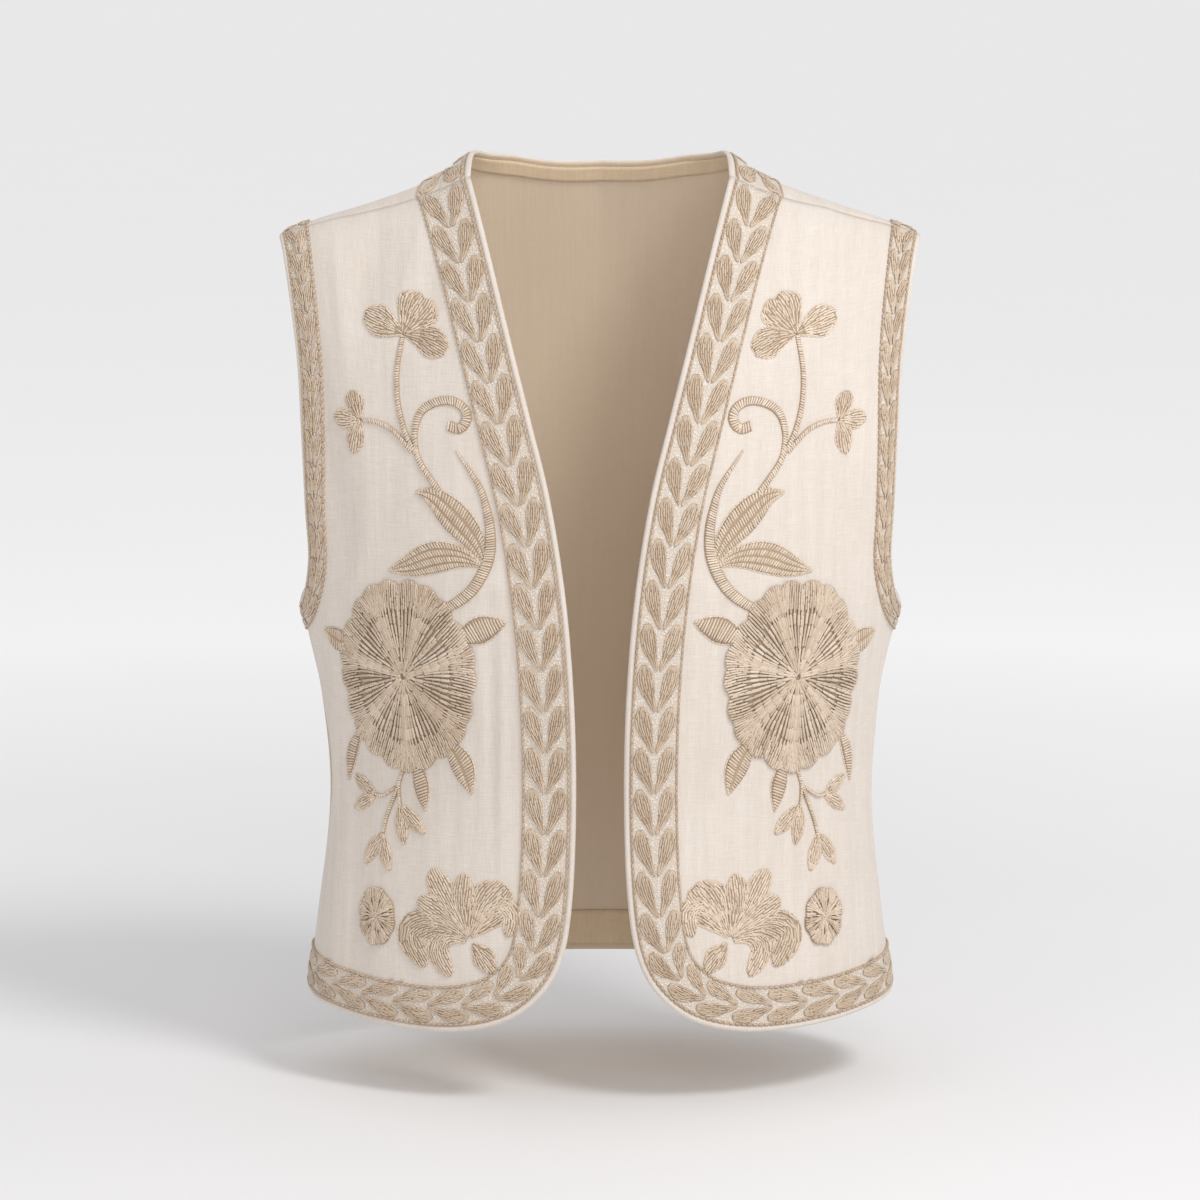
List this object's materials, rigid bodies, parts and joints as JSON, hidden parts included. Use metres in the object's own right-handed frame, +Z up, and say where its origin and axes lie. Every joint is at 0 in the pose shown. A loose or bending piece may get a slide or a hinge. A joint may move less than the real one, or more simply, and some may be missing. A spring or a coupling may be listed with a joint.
{
  "type": "embroidered waistcoat",
  "caption": "Sleeveless open-fronted linen waistcoat with a V neck, rounded front corners and tone-on-tone floral embroidery, held in its worn shape.",
  "frame": {"origin": "midway between the two neck ends of the shoulders, where it is held", "axes": "+Z up, the front faces -Y, +X is the wearer's left"},
  "size_m": [0.3958, 0.235, 0.5322],
  "materials": {
    "linen": "slubbed linen, matte",
    "embroidered_band": "satin stitch thread",
    "facing": "plain linen, matte"
  },
  "bodies": {
    "root": {"front_left": "linen", "front_right": "linen", "back": "linen", "front_band_left": "embroidered_band", "front_band_right": "embroidered_band", "armhole_band_front_left": "embroidered_band", "armhole_band_front_right": "embroidered_band", "armhole_band_back_left": "embroidered_band", "armhole_band_back_right": "embroidered_band", "back_neck_band": "embroidered_band", "back_hem_band": "embroidered_band", "back_neck_facing": "facing", "back_hem_facing": "facing"}
  },
  "joints": []
}
